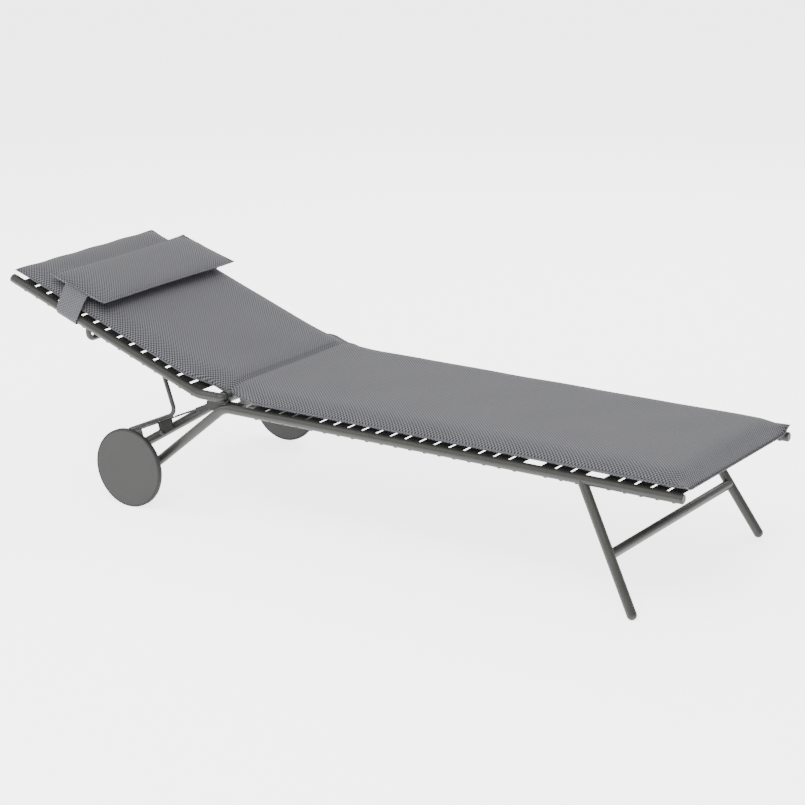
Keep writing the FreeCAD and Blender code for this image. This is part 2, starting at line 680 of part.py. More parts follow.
PROP_R = "Sizes.prop_dia / 2"
for side, sign in SIDES.items():
    outwards = Y_AXIS * sign
    y_prop = outwards * size("prop_half")
    lower = knee - peg
    upper = pivot - peg
    rod = bent_tube(
        f"prop_rod_body_{side}", "XZ_Plane", "YZ_Plane",
        [("0", "0"), ("Sizes.prop_tail", "0"),
         (f"{upper.x * math.cos(rack_slope) + upper.z * math.sin(rack_slope):.6f}",
          f"{upper.z * math.cos(rack_slope) - upper.x * math.sin(rack_slope):.6f}")],
        "prop_bend", PROP_R)
    rod.Placement = Placement(peg + y_prop, Rotation(Y_AXIS, -size("rack_angle")))
    tail_ball = doc.addObject("Part::Sphere", f"tail_ball_{side}")
    top_ball = doc.addObject("Part::Sphere", f"top_ball_{side}")
    for ball, spot in ((tail_ball, peg), (top_ball, pivot)):
        bind(ball, Radius=PROP_R)
        ball.Placement = Placement(spot + y_prop, Rotation())
    rail_gap = rail_half - tube_r - size("prop_half")
    top_pin = cylinder(f"top_pin_{side}", PROP_R, f"{rail_gap} + Sizes.prop_pin", pivot + y_prop, outwards)
    peg_length = size("prop_half") - rack_in
    peg_pin = cylinder(f"peg_pin_{side}", "Sizes.peg_dia / 2", f"{peg_length}", peg + y_prop, -outwards)
    keep(f"prop_rod_{side}", fuse(f"prop_rod_{side}", rod, tail_ball, top_ball, top_pin, peg_pin))

# ---------------------------------------------------------------- straps and clips

strap_top = tube_r - size("strap_inset")
strap_low = strap_top - size("strap_thick")
strap_edge = rail_half - math.sqrt(tube_r ** 2 - strap_low ** 2) - size("clip_gap")
clip_r = tube_r + size("clip_gap")
clip_at = (size("strap_width") - size("clip_width")) / 2


def strap(name, place):
    """Flat elastic band across the frame, its near edge at the local origin."""
    obj = box(name, "Sizes.strap_width", f"{2 * strap_edge}", "Sizes.strap_thick", Vector())
    obj.Placement = place
    return obj


def clip(name, place, sign):
    """Hook that carries a strap's end round the inside of the rail to its underside."""
    parts = []
    for label, radius in (("outer", clip_r + size("clip_thick")), ("inner", clip_r)):
        ring = doc.addObject("Part::Cylinder", f"{name}_{label}")
        ring.Radius = radius
        bind(ring, Height="Sizes.clip_width", Angle="Sizes.clip_sweep * 1deg")
        start_angle = -90 - size("clip_rise") if sign > 0 else 90 + size("clip_rise") - size("clip_sweep")
        ring.Placement = Placement(Vector(), Rotation(Y_AXIS, 90).multiply(Rotation(Z_AXIS, start_angle)))
        parts.append(ring)
    hook = cut(name, *parts)
    hook.Placement = place
    return hook


def slots_in(room):
    """How many straps fit in a length, at the straps' pitch."""
    return int((room - size("strap_width")) / size("strap_pitch")) + 1


seat_straps = []
seat_clips = []
for slot in range(slots_in(rail_run - size("seat_strap_stop"))):
    if slot in SEAT_GAPS:
        continue
    strap_x = rail_run - size("strap_width") - slot * size("strap_pitch")
    spot = Vector(strap_x, -strap_edge, rail_z + strap_low)
    seat_straps.append(strap(f"seat_strap_{slot}", Placement(spot, Rotation())))
    for side, sign in SIDES.items():
        hook_at = Vector(strap_x + clip_at, sign * rail_half, rail_z)
        seat_clips.append(clip(f"seat_clip_{side}_{slot}", Placement(hook_at, Rotation()), sign))
keep("seat_straps", group("seat_straps", seat_straps))
keep("seat_strap_clips", group("seat_strap_clips", seat_clips))

back_straps = []
back_clips = []
back_room = size("back_length") - size("plug_length") - size("back_strap_room") - size("back_strap_stop")
for slot in range(slots_in(back_room)):
    strap_x = -size("back_strap_stop") - size("strap_width") - slot * size("strap_pitch")
    spot = Vector(strap_x, -strap_edge, strap_low)
    back_straps.append(strap(f"back_strap_{slot}", back_frame.multiply(Placement(spot, Rotation()))))
    for side, sign in SIDES.items():
        hook_at = Vector(strap_x + clip_at, sign * rail_half, 0)
        place = back_frame.multiply(Placement(hook_at, Rotation()))
        back_clips.append(clip(f"back_clip_{side}_{slot}", place, sign))
keep("back_straps", group("back_straps", back_straps))
keep("back_strap_clips", group("back_strap_clips", back_clips))

# ---------------------------------------------------------------- pad and pillow

pad_low = tube_r + size("pad_gap")
notch_wide = 2 * (size("pad_half") - size("notch_half"))


def notches(name, length, start, place):
    """Room in both sides of a pad for the hinge blocks and elbows."""
    made = []
    for side, sign in SIDES.items():
        low = size("notch_half") if sign > 0 else -size("notch_half") - notch_wide
        room = box(f"{name}_notch_{side}", length, f"{notch_wide}", "2 * Sizes.pad_thick", Vector())
        room.Placement = place.multiply(Placement(Vector(start, low, 0), Rotation()))
        made.append(room)
    return made


seat_pad_x = hinge.x + size("fold_gap")
seat_pad = box("seat_pad_block", f"Sizes.rail_length - Sizes.pad_inset - ({seat_pad_x})",
               "2 * Sizes.pad_half", "Sizes.pad_thick",
               Vector(seat_pad_x, -size("pad_half"), rail_z + pad_low))
keep("seat_pad", cut("seat_pad", seat_pad, *notches(
    "seat", "Sizes.seat_notch", seat_pad_x, Placement(Z_AXIS * rail_z, Rotation()))))

hinge_in_back = back_frame.inverse().multVec(hinge)
back_pad_x = size("pad_inset") - size("back_length")
back_pad_end = hinge_in_back.x - size("fold_gap")
back_pad = box("back_pad_block", f"{back_pad_end - back_pad_x}", "2 * Sizes.pad_half", "Sizes.pad_thick",
               Vector())
back_pad.Placement = back_frame.multiply(
    Placement(Vector(back_pad_x, -size("pad_half"), pad_low), Rotation()))
keep("back_pad", cut("back_pad", back_pad, *notches(
    "back", "Sizes.back_notch", back_pad_end - size("back_notch"), back_frame)))

# pillow: a lens-shaped cushion, its knife edges at half its thickness
pillow_base = pad_low + size("pad_thick") + size("pad_gap")
pillow_mid = pillow_base + size("pillow_thick") / 2
pillow_round = doc.addObject("Part::Ellipsoid", "pillow_round")
bind(pillow_round, Radius1="Sizes.pillow_thick * Sizes.crown_thick",
     Radius2="Sizes.pillow_length * Sizes.crown_length", Radius3="Sizes.pillow_half * Sizes.crown_width")
pillow_box = box("pillow_box", "Sizes.pillow_length", "2 * Sizes.pillow_half", "Sizes.pillow_thick",
                 Vector(-size("pillow_length") / 2, -size("pillow_half"), -size("pillow_thick") / 2))
pillow = doc.addObject("Part::Common", "pillow_common")
pillow.Base = pillow_round
pillow.Tool = pillow_box
pillow_at = Vector(-size("pillow_setback") - size("pillow_length") / 2, 0, pillow_mid)
pillow.Placement = back_frame.multiply(Placement(pillow_at, Rotation()))
keep("head_pillow", pillow)

# tabs: from the pillow's ends down the outside of each back rail and round beneath it
flap_r = clip_r + size("clip_thick") + size("flap_gap")
flap_at = -size("pillow_setback") - size("pillow_length") / 2 - size("flap_width") / 2
tabs_made = []
for side, sign in SIDES.items():
    rail_at = Vector(flap_at, sign * rail_half, 0)
    sweep = size("flap_under") + 90 + size("flap_lean")
    start_angle = -size("flap_under") if sign > 0 else size("flap_under") - sweep
    turn = Rotation(Y_AXIS, 90).multiply(Rotation(Z_AXIS, start_angle))
    rings = []
    for label, radius in (("outer", flap_r + size("flap_thick")), ("inner", flap_r)):
        ring = doc.addObject("Part::Cylinder", f"flap_{label}_{side}")
        bind(ring, Height="Sizes.flap_width")
        ring.Radius = radius
        ring.Angle = sweep
        ring.Placement = back_frame.multiply(Placement(rail_at, turn))
        rings.append(ring)
    flap_y = flap_r if sign > 0 else -flap_r - size("flap_thick")
    wall = box(f"flap_wall_{side}", "Sizes.flap_width", "Sizes.flap_thick", "Sizes.flap_run", Vector())
    lean = Placement(rail_at, Rotation(X_AXIS, sign * size("flap_lean")))
    wall.Placement = back_frame.multiply(lean.multiply(Placement(Y_AXIS * flap_y, Rotation())))
    tabs_made.append(fuse(f"pillow_tab_{side}", cut(f"flap_ring_{side}", *rings), wall))
keep("pillow_tabs", group("pillow_tabs", tabs_made))

# ---------------------------------------------------------------- place, check and write

doc.recompute()
head_end = corner + along_back * size("back_length")
lowest_x = head_end.x - tube_r * math.sin(recline)
shift = Placement(Vector(-(lowest_x + size("rail_length")) / 2, 0, 0), Rotation())
for node in nodes.values():
    node.Placement = shift.multiply(node.Placement)
doc.recompute()

for obj in doc.Objects:
    if "Invalid" in obj.State or "Error" in obj.State:
        raise RuntimeError(f"{obj.Name} failed: {obj.State}")
for name, node in nodes.items():
    shape = node.Shape
    if shape.isNull() or not shape.isValid() or not shape.Solids:
        raise RuntimeError(f"{name} has no valid solid")

os.makedirs("parts", exist_ok=True)
for name, node in nodes.items():
    node.Shape.exportStep(f"parts/{name}.step")
    span = node.Shape.BoundBox
    print(f"{name}: {len(node.Shape.Solids)} solids, {node.Shape.Volume / 1000:.1f} cm3, "
          f"x {span.XMin:.1f}..{span.XMax:.1f}, y {span.YMin:.1f}..{span.YMax:.1f}, "
          f"z {span.ZMin:.1f}..{span.ZMax:.1f}")
print(f"origin shift {shift.Base.x:.3f}, hinge {shift.multVec(hinge)}, prop pivot {shift.multVec(pivot)}, "
      f"axle {shift.multVec(axle)}, feet {[shift.multVec(foot) for foot in leg_feet.values()]}")
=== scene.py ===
"""Reclining sun lounger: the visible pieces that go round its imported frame."""

import json
import logging
import math
from dataclasses import dataclass, field
from enum import Enum

import bmesh
import bpy
import numpy as np
from mathutils import Euler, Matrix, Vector


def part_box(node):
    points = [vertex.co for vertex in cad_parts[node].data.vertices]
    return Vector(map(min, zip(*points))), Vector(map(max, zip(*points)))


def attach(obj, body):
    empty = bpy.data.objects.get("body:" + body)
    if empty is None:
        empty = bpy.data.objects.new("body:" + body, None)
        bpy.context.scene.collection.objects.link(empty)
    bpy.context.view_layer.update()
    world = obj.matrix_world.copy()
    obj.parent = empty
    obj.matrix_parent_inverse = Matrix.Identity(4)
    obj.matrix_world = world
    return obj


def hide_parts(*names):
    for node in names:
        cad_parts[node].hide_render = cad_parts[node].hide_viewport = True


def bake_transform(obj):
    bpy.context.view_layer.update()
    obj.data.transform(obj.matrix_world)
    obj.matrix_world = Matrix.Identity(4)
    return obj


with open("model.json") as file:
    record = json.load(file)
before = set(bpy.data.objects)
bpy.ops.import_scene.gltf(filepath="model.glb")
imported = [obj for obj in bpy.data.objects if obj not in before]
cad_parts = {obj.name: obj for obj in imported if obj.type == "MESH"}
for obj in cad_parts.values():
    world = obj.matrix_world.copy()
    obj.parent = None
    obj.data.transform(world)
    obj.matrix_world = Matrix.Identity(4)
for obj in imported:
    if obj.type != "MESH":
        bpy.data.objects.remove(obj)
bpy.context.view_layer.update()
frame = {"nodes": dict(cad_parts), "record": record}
LOG = logging.getLogger("sun_lounger")
MM = 0.001


class Side(Enum):
    """The two sides of the lounger, with the sign of Y on each."""

    RIGHT = -1
    LEFT = 1


class Body(Enum):
    """The bodies that pieces ride on."""

    BASE = "base"
    BACK = "back"


def linear(hex_colour: str) -> tuple[float, float, float, float]:
    """Turn an sRGB hex colour into a linear RGBA colour.

    Args:
        hex_colour: six hex digits after a hash sign.

    Returns:
        Linear red, green and blue, with alpha 1.
    """
    values = [int(hex_colour[place:place + 2], 16) / 255 for place in (1, 3, 5)]
    curved = [v / 12.92 if v <= 0.04045 else ((v + 0.055) / 1.055) ** 2.4 for v in values]
    return (*curved, 1.0)


def add_node(tree: bpy.types.NodeTree, kind: str, settings: dict | None = None,
             links: dict | None = None) -> bpy.types.Node:
    """Add a node with its settings and links.

    Args:
        tree: the node tree.
        kind: the node's type name.
        settings: node attributes, or default values of inputs by name or index.
        links: output sockets for inputs by name or index.

    Returns:
        The new node.
    """
    node = tree.nodes.new(kind)
    for key, value in (settings or {}).items():
        if isinstance(key, str) and hasattr(node, key):
            setattr(node, key, value)
        else:
            node.inputs[key].default_value = value
    for key, socket in (links or {}).items():
        tree.links.new(socket, node.inputs[key])
    return node


# ---------------------------------------------------------------- finishes


@dataclass(frozen=True)
class Finish:
    """A finish: its name, colour and the numbers of its shader.

    The grain is a fine noise in the surface's height and colour, sized in millimetres.
    """

    name: str
    colour: str
    dark: str
    roughness: float
    metallic: float = 0.0
    sheen: float = 0.0
    specular: float = 0.4
    grain_mm: float = 1.5
    grain_height_mm: float = 0.03
    mottle_mm: float = 60.0

    def start(self) -> tuple[bpy.types.Material, bpy.types.NodeTree, bpy.types.Node]:
        """Make the material with its shader set and linked to the output.

        Returns:
            The material, its node tree and its shader.
        """
        material = bpy.data.materials.new(self.name)
        material.use_nodes = True
        tree = material.node_tree
        tree.nodes.clear()
        shader = add_node(tree, "ShaderNodeBsdfPrincipled", {
            "Roughness": self.roughness, "Metallic": self.metallic, "Sheen Weight": self.sheen,
            "Specular IOR Level": 0.5 if self.metallic else self.specular})
        add_node(tree, "ShaderNodeOutputMaterial", None, {"Surface": shader.outputs["BSDF"]})
        return material, tree, shader

    def build(self) -> bpy.types.Material:
        """Build a moulded, coated or brushed surface on Object coordinates.

        Returns:
            The material.
        """
        material, tree, shader = self.start()
        place = add_node(tree, "ShaderNodeTexCoord").outputs["Object"]
        mottle = add_node(tree, "ShaderNodeTexNoise", {"Scale": 1000 / self.mottle_mm, "Detail": 4.0},
                          {"Vector": place})
        grain = add_node(tree, "ShaderNodeTexNoise", {"Scale": 1000 / self.grain_mm, "Detail": 2.0},
                         {"Vector": place})
        both = add_node(tree, "ShaderNodeMath", {"operation": "MULTIPLY_ADD", 1: 0.35},
                        {0: grain.outputs["Fac"], 2: mottle.outputs["Fac"]})
        tint = add_node(tree, "ShaderNodeValToRGB", None, {"Fac": both.outputs[0]})
        tint.color_ramp.elements[0].position = 0.35
        tint.color_ramp.elements[0].color = linear(self.dark)
        tint.color_ramp.elements[1].position = 0.95
        tint.color_ramp.elements[1].color = linear(self.colour)
        bump = add_node(tree, "ShaderNodeBump", {"Strength": 0.6, "Distance": self.grain_height_mm * MM},
                        {"Height": grain.outputs["Fac"]})
        rough = add_node(tree, "ShaderNodeMapRange", {
            "To Min": self.roughness - 0.06, "To Max": self.roughness + 0.08},
            {"Value": mottle.outputs["Fac"]})
        tree.links.new(tint.outputs["Color"], shader.inputs["Base Color"])
        tree.links.new(rough.outputs["Result"], shader.inputs["Roughness"])
        tree.links.new(bump.outputs["Normal"], shader.inputs["Normal"])
        return material


@dataclass(frozen=True)
class WovenMesh(Finish):
    """Outdoor mesh fabric of coated yarn in a plain weave, light warp over dark weft.

    Reads the piece's own UV map, which is in metres along and across the cloth. The real
    yarn is about 1.2 mm; it is drawn coarser so that its dots show. The weave is drawn at full
    contrast towards the sides, where the cloth turns down to its seam, and at less in the middle.
    """

    yarn_mm: float = 4.6
    yarn_height_mm: float = 0.8
    calm: float = 0.42

    def build(self) -> bpy.types.Material:
        """Build the weave from the product of two sine waves, one along each yarn.

        Returns:
            The material.
        """
        material, tree, shader = self.start()
        uv = add_node(tree, "ShaderNodeUVMap", {"uv_map": "UVMap"}).outputs["UV"]
        split = add_node(tree, "ShaderNodeSeparateXYZ", None, {"Vector": uv})
        waves = []
        for axis in ("X", "Y"):
            turns = add_node(tree, "ShaderNodeMath", {
                "operation": "MULTIPLY", 1: math.pi * 1000 / self.yarn_mm}, {0: split.outputs[axis]})
            waves.append(add_node(tree, "ShaderNodeMath", {"operation": "SINE"}, {0: turns.outputs[0]}))
        weave = add_node(tree, "ShaderNodeMath", {"operation": "MULTIPLY"},
                         {0: waves[0].outputs[0], 1: waves[1].outputs[0]})
        crown = add_node(tree, "ShaderNodeMath", {"operation": "ABSOLUTE"}, {0: weave.outputs[0]})
        patch = add_node(tree, "ShaderNodeTexNoise", {"Scale": 1000 / self.mottle_mm, "Detail": 3.0},
                         {"Vector": uv})
        shade = add_node(tree, "ShaderNodeMapRange", {
            "From Min": -0.55, "From Max": 0.55, "interpolation_type": "SMOOTHSTEP"},
            {"Value": weave.outputs[0]})
        # The weave's contrast: the calm share in the middle, rising to full towards the sides.
        off_middle = add_node(tree, "ShaderNodeMath", {"operation": "ABSOLUTE"}, {0: split.outputs["Y"]})
        side_contrast = add_node(tree, "ShaderNodeMapRange", {
            "From Min": 0.08, "From Max": 0.24, "To Min": self.calm, "To Max": 1.0,
            "interpolation_type": "SMOOTHSTEP"}, {"Value": off_middle.outputs[0]})
        centred = add_node(tree, "ShaderNodeMath", {"operation": "SUBTRACT", 1: 0.5},
                           {0: shade.outputs["Result"]})
        faded = add_node(tree, "ShaderNodeMath", {"operation": "MULTIPLY_ADD", 2: 0.45},
                         {0: centred.outputs[0], 1: side_contrast.outputs["Result"]})
        worn = add_node(tree, "ShaderNodeMath", {"operation": "MULTIPLY_ADD", 1: 0.12},
                        {0: patch.outputs["Fac"], 2: faded.outputs[0]})
        tint = add_node(tree, "ShaderNodeMix", {
            "data_type": "RGBA", 6: linear(self.dark), 7: linear(self.colour)}, {0: worn.outputs[0]})
        bump = add_node(tree, "ShaderNodeBump", {"Strength": 0.8, "Distance": self.yarn_height_mm * MM},
                        {"Height": crown.outputs[0]})
        tree.links.new(tint.outputs[2], shader.inputs["Base Color"])
        tree.links.new(bump.outputs["Normal"], shader.inputs["Normal"])
        return material


@dataclass(frozen=True)
class ElasticWeb(Finish):
    """Black elastic webbing: ribs along the band, drawn at 2 mm so that they show."""

    rib_mm: float = 2.0

    def build(self) -> bpy.types.Material:
        """Build ribs that run across the lounger, along each band.

        Returns:
            The material.
        """
        material, tree, shader = self.start()
        place = add_node(tree, "ShaderNodeTexCoord").outputs["Object"]
        ribs = add_node(tree, "ShaderNodeTexWave", {
            "Scale": 1000 / self.rib_mm / 20, "Distortion": 0.4, "Detail": 2.0, "Detail Scale": 30.0,
            "bands_direction": "X"}, {"Vector": place})
        tint = add_node(tree, "ShaderNodeMix", {
            "data_type": "RGBA", 6: linear(self.dark), 7: linear(self.colour)}, {0: ribs.outputs["Fac"]})
        bump = add_node(tree, "ShaderNodeBump", {"Strength": 0.7, "Distance": 0.3 * MM},
                        {"Height": ribs.outputs["Fac"]})
        tree.links.new(tint.outputs[2], shader.inputs["Base Color"])
        tree.links.new(bump.outputs["Normal"], shader.inputs["Normal"])
        return material


# Polyester powder coat baked on aluminium tube: satin, with a slight orange peel
POWDER_COAT = Finish("powder_coat_taupe", "#272724", "#20201e", 0.42, grain_mm=1.8, grain_height_mm=0.05)
# Polyamide plugs moulded to match the tube: a little duller and finer than the coat
MATCHED_PLASTIC = Finish("moulded_polyamide_taupe", "#252523", "#1f1f1d", 0.52, grain_mm=0.9)
# Glass-filled polyamide: near black, with a spark-eroded grain
BLACK_PLASTIC = Finish("moulded_polyamide_black", "#171717", "#0d0d0d", 0.55, grain_mm=0.8)
# Polypropylene wheel disc: flat matte grey
WHEEL_PLASTIC = Finish("moulded_polypropylene_grey", "#20201f", "#1b1b1a", 0.58, grain_mm=0.7)
# Thermoplastic rubber tread: dull dark grey
TREAD_RUBBER = Finish("tread_rubber", "#181817", "#101010", 0.7, grain_mm=1.2, grain_height_mm=0.06)
# Stainless fasteners, tumbled rather than polished
STAINLESS = Finish("stainless_tumbled", "#8f8d89", "#6e6c68", 0.34, metallic=1.0, grain_mm=0.6)
# Acetal bushes: smooth and dark
ACETAL = Finish("acetal_bush", "#242424", "#161616", 0.38, grain_mm=0.8)
# Elastic webbing of the bed
ELASTIC = ElasticWeb("elastic_webbing", "#161616", "#070707", 0.85, sheen=0.15)
# Coated polyester mesh of the pad and pillow
MESH = WovenMesh("woven_mesh_grey", "#616165", "#1b1b1f", 0.72, sheen=0.06, specular=0.25,
                 mottle_mm=220.0)
# Folded edge binding of the same yarn, packed tighter, so it looks lighter
BINDING = WovenMesh("woven_binding_grey", "#59595d", "#37373b", 0.75, sheen=0.06, specular=0.25, yarn_mm=1.6,
                    yarn_height_mm=0.3)
# Bonded sewing thread
THREAD = Finish("bonded_thread", "#7c7c80", "#5b5b5f", 0.6, grain_mm=0.6)


@dataclass
class Palette:
    """Builds each finish once and hands it out."""

    made: dict[str, bpy.types.Material] = field(default_factory=dict)

    def get(self, finish: Finish) -> bpy.types.Material:
        """Material of a finish, built on first use.

        Args:
            finish: the finish.

        Returns:
            Its material.
        """
        if finish.name not in self.made:
            self.made[finish.name] = finish.build()
        return self.made[finish.name]


PALETTE = Palette()


# ---------------------------------------------------------------- mesh helpers


def add_object(name: str, data: bpy.types.ID) -> bpy.types.Object:
    """Make an object for a mesh, light or camera and link it to the scene."""
    made = bpy.data.objects.new(name, data)
    bpy.context.scene.collection.objects.link(made)
    return made


def make_piece(name: str, points: list | np.ndarray, faces: list, finish: Finish,
               uvs: np.ndarray | None = None) -> bpy.types.Object:
    """Make a smooth-shaded mesh object with its normals outwards.

    Args:
        name: the piece's name.
        points: vertex places in metres, in the row frame.
        faces: vertex indices of each face.
        finish: the finish that it wears.
        uvs: one UV pair in metres for each vertex, or None.

    Returns:
        The new object, linked to the scene.
    """
    mesh = bpy.data.meshes.new(name)
    mesh.from_pydata([tuple(map(float, point)) for point in points], [], faces)
    if uvs is not None:
        layer = mesh.uv_layers.new(name="UVMap")
        corners = np.array([loop.vertex_index for loop in mesh.loops])
        layer.data.foreach_set("uv", np.asarray(uvs, float)[corners].ravel())
    mesh.materials.append(PALETTE.get(finish))
    work = bmesh.new()
    work.from_mesh(mesh)
    bmesh.ops.recalc_face_normals(work, faces=work.faces)
    work.to_mesh(mesh)
    work.free()
    mesh.shade_smooth()
    return add_object(name, mesh)


def smooth_once(piece: bpy.types.Object, seam: list[int]) -> bpy.types.Object:
    """Subdivide a sewn envelope once and keep its seam sharp.

    Args:
        piece: the envelope.
        seam: indices of the vertices on its seam.

    Returns:
        The same object, as a plain mesh.
    """
    sewn = set(seam)
    crease = piece.data.attributes.new("crease_edge", "FLOAT", "EDGE")
    for number, edge in enumerate(piece.data.edges):
        crease.data[number].value = 1.0 if sewn.issuperset(edge.vertices) else 0.0
    smooth = piece.modifiers.new("smooth", "SUBSURF")
    smooth.levels = 1
    smooth.render_levels = 1
    return finalise(piece)


def finalise(piece: bpy.types.Object) -> bpy.types.Object:
    """Turn a piece's modifiers into its own plain mesh.

    Args:
        piece: an object with live modifiers.

    Returns:
        The same object, with no modifiers.
    """
    graph = bpy.context.evaluated_depsgraph_get()
    mesh = bpy.data.meshes.new_from_object(piece.evaluated_get(graph))
    piece.modifiers.clear()
    piece.data = mesh
    mesh.name = piece.name
    return piece


def open_tree(name: str, inputs: dict[str, str], output: str) -> tuple[bpy.types.NodeTree, dict]:
    """Start a Geometry Nodes tree with its named inputs and its one output.

    Args:
        name: the tree's name.
        inputs: socket kind of each input, by name.
        output: name of the geometry that comes out.

    Returns:
        The tree and the sockets of its inputs.
    """
    tree = bpy.data.node_groups.new(name, "GeometryNodeTree")
    for label, kind in inputs.items():
        tree.interface.new_socket(label, in_out="INPUT", socket_type=f"NodeSocket{kind}")
    tree.interface.new_socket(output, in_out="OUTPUT", socket_type="NodeSocketGeometry")
    return tree, add_node(tree, "NodeGroupInput").outputs


def close_tree(tree: bpy.types.NodeTree, copies: bpy.types.Node, finish: bpy.types.NodeSocket,
               output: str) -> None:
    """End a tree by making its copies real and giving them their material.

    Args:
        tree: the tree.
        copies: the node that places the copies.
        finish: the socket that holds their material.
        output: name of the geometry that comes out.
    """
    real = add_node(tree, "GeometryNodeRealizeInstances", None, {"Geometry": copies.outputs[0]})
    dressed = add_node(tree, "GeometryNodeSetMaterial", None, {
        "Geometry": real.outputs[0], "Material": finish})
    add_node(tree, "NodeGroupOutput", None, {output: dressed.outputs[0]})


def run_tree(piece: bpy.types.Object, tree: bpy.types.NodeTree, values: dict) -> bpy.types.Object:
    """Run a tree on a piece and keep the result as its plain mesh.

    Args:
        piece: the object.
        tree: the tree.
        values: the value of each input, by name.

    Returns:
        The same object.
    """
    modifier = piece.modifiers.new(tree.name, "NODES")
    modifier.node_group = tree
    sockets = {item.name: item.identifier for item in tree.interface.items_tree
               if item.in_out == "INPUT"}
    for name, value in values.items():
        modifier[sockets[name]] = value
    return finalise(piece)


def envelope_faces(index: dict, rows: int, columns: int) -> list[list[int]]:
    """Faces of a sewn envelope: a top and a bottom grid that share their rim.

    Args:
        index: vertex index of each layer, row and column.
        rows: how many cells run along the envelope.
        columns: how many cells run across it.

    Returns:
        The faces.
    """
    faces = []
    for row in range(rows):
        for column in range(columns):
            for layer in ("top", "bottom"):
                loop = [index[layer, row, column], index[layer, row + 1, column],
                        index[layer, row + 1, column + 1], index[layer, row, column + 1]]
                faces.append(loop if layer == "top" else loop[::-1])
    return faces


def rim_of(rows: int, columns: int) -> list[tuple[int, int]]:
    """Walk round the edge of a grid.

    Args:
        rows: how many cells run one way.
        columns: how many cells run the other way.

    Returns:
        Row and column of each place on the edge, in order.
    """
    rim = [(row, 0) for row in range(rows + 1)]
    rim += [(rows, column) for column in range(1, columns + 1)]
    rim += [(row, columns) for row in range(rows - 1, -1, -1)]
    return rim + [(0, column) for column in range(columns - 1, 0, -1)]


def swept_band(name: str, spine: np.ndarray, sideways: np.ndarray, widths: np.ndarray, thick: float,
               finish: Finish) -> bpy.types.Object:
    """Make a flat band of cloth with rounded edges that follows a spine.

    Args:
        name: the piece's name.
        spine: points of its middle line.
        sideways: unit direction of its width.
        widths: its width at each point.
        thick: its thickness.
        finish: the finish that it wears.

    Returns:
        The new object.
    """
    tangents = np.gradient(spine, axis=0)
    tangents /= np.linalg.norm(tangents, axis=1)[:, None]
    normals = np.cross(tangents, sideways)
    across = np.concatenate([[-0.5, -0.488], np.linspace(-0.47, 0.47, 9), [0.488, 0.5]])
    lift = np.sqrt(np.clip(1 - (np.abs(across) / 0.5) ** 24, 0.0, 1.0))
    ring = [(a, l) for a, l in zip(across, lift)] + [(a, -l) for a, l in zip(across[-2:0:-1], lift[-2:0:-1])]
    points = []
    uvs = []
    length = np.concatenate([[0.0], np.cumsum(np.linalg.norm(np.diff(spine, axis=0), axis=1))])
    for middle, normal, width, run in zip(spine, normals, widths, length):
        for a, l in ring:
            points.append(middle + sideways * (a * width) + normal * (l * thick / 2))
            uvs.append((run, a * width))
    count = len(ring)
    faces = [[r * count + c, r * count + (c + 1) % count, (r + 1) * count + (c + 1) % count,
              (r + 1) * count + c] for r in range(len(spine) - 1) for c in range(count)]
    faces.append(list(range(count)))
    faces.append(list(range((len(spine) - 1) * count, len(spine) * count)))
    return make_piece(name, points, faces, finish, np.array(uvs))


@dataclass
class Inflation:
    """A short cloth simulation that fills a sewn envelope and puckers it at its seams."""

    pressure: float = 4.0
    frames: int = 20
    cap: float = 0.008
    slack: float = 0.02
    stiffness: float = 12.0
    bending: float = 0.6
    quality: int = 6
    mass: float = 0.2
    shear_share: float = 3

    def run(self, piece: bpy.types.Object, pinned: np.ndarray) -> None:
        """Run the simulation and keep its result in the mesh.

        Args:
            piece: the closed envelope, its mesh a plain grid.
            pinned: weights of the seams, 1 where they're held.
        """
        start = np.empty(len(piece.data.vertices) * 3)
        piece.data.vertices.foreach_get("co", start)
        seam = piece.vertex_groups.new(name="seam")
        for weight in np.unique(np.round(pinned, 2)):
            members = np.nonzero(np.round(pinned, 2) == weight)[0].tolist()
            if weight > 0:
                seam.add(members, float(weight), "REPLACE")
        cloth = piece.modifiers.new("cloth", "CLOTH")
        settings = cloth.settings
        settings.quality = self.quality
        settings.mass = self.mass
        settings.tension_stiffness = self.stiffness
        settings.compression_stiffness = self.stiffness
        settings.shear_stiffness = self.stiffness / self.shear_share
        settings.bending_stiffness = self.bending
        settings.use_pressure = True
        settings.uniform_pressure_force = self.pressure
        settings.shrink_min = -self.slack
        settings.vertex_group_mass = "seam"
        settings.effector_weights.gravity = 0.0
        cloth.collision_settings.use_collision = False
        cloth.point_cache.frame_start = 1
        cloth.point_cache.frame_end = self.frames
        scene = bpy.context.scene
        for number in range(1, self.frames + 1):
            scene.frame_set(number)
        graph = bpy.context.evaluated_depsgraph_get()
        moved_mesh = piece.evaluated_get(graph).to_mesh()
        moved = np.empty_like(start)
        moved_mesh.vertices.foreach_get("co", moved)
        shift = (moved - start).reshape(-1, 3)
        size = np.linalg.norm(shift, axis=1)[:, None]
        shift *= np.minimum(1.0, self.cap / np.maximum(size, 1e-9))
        piece.modifiers.remove(cloth)
        piece.vertex_groups.remove(seam)
        scene.frame_set(1)
        piece.data.vertices.foreach_set("co", start + shift.ravel())
        piece.data.update()


# ---------------------------------------------------------------- places from the frame


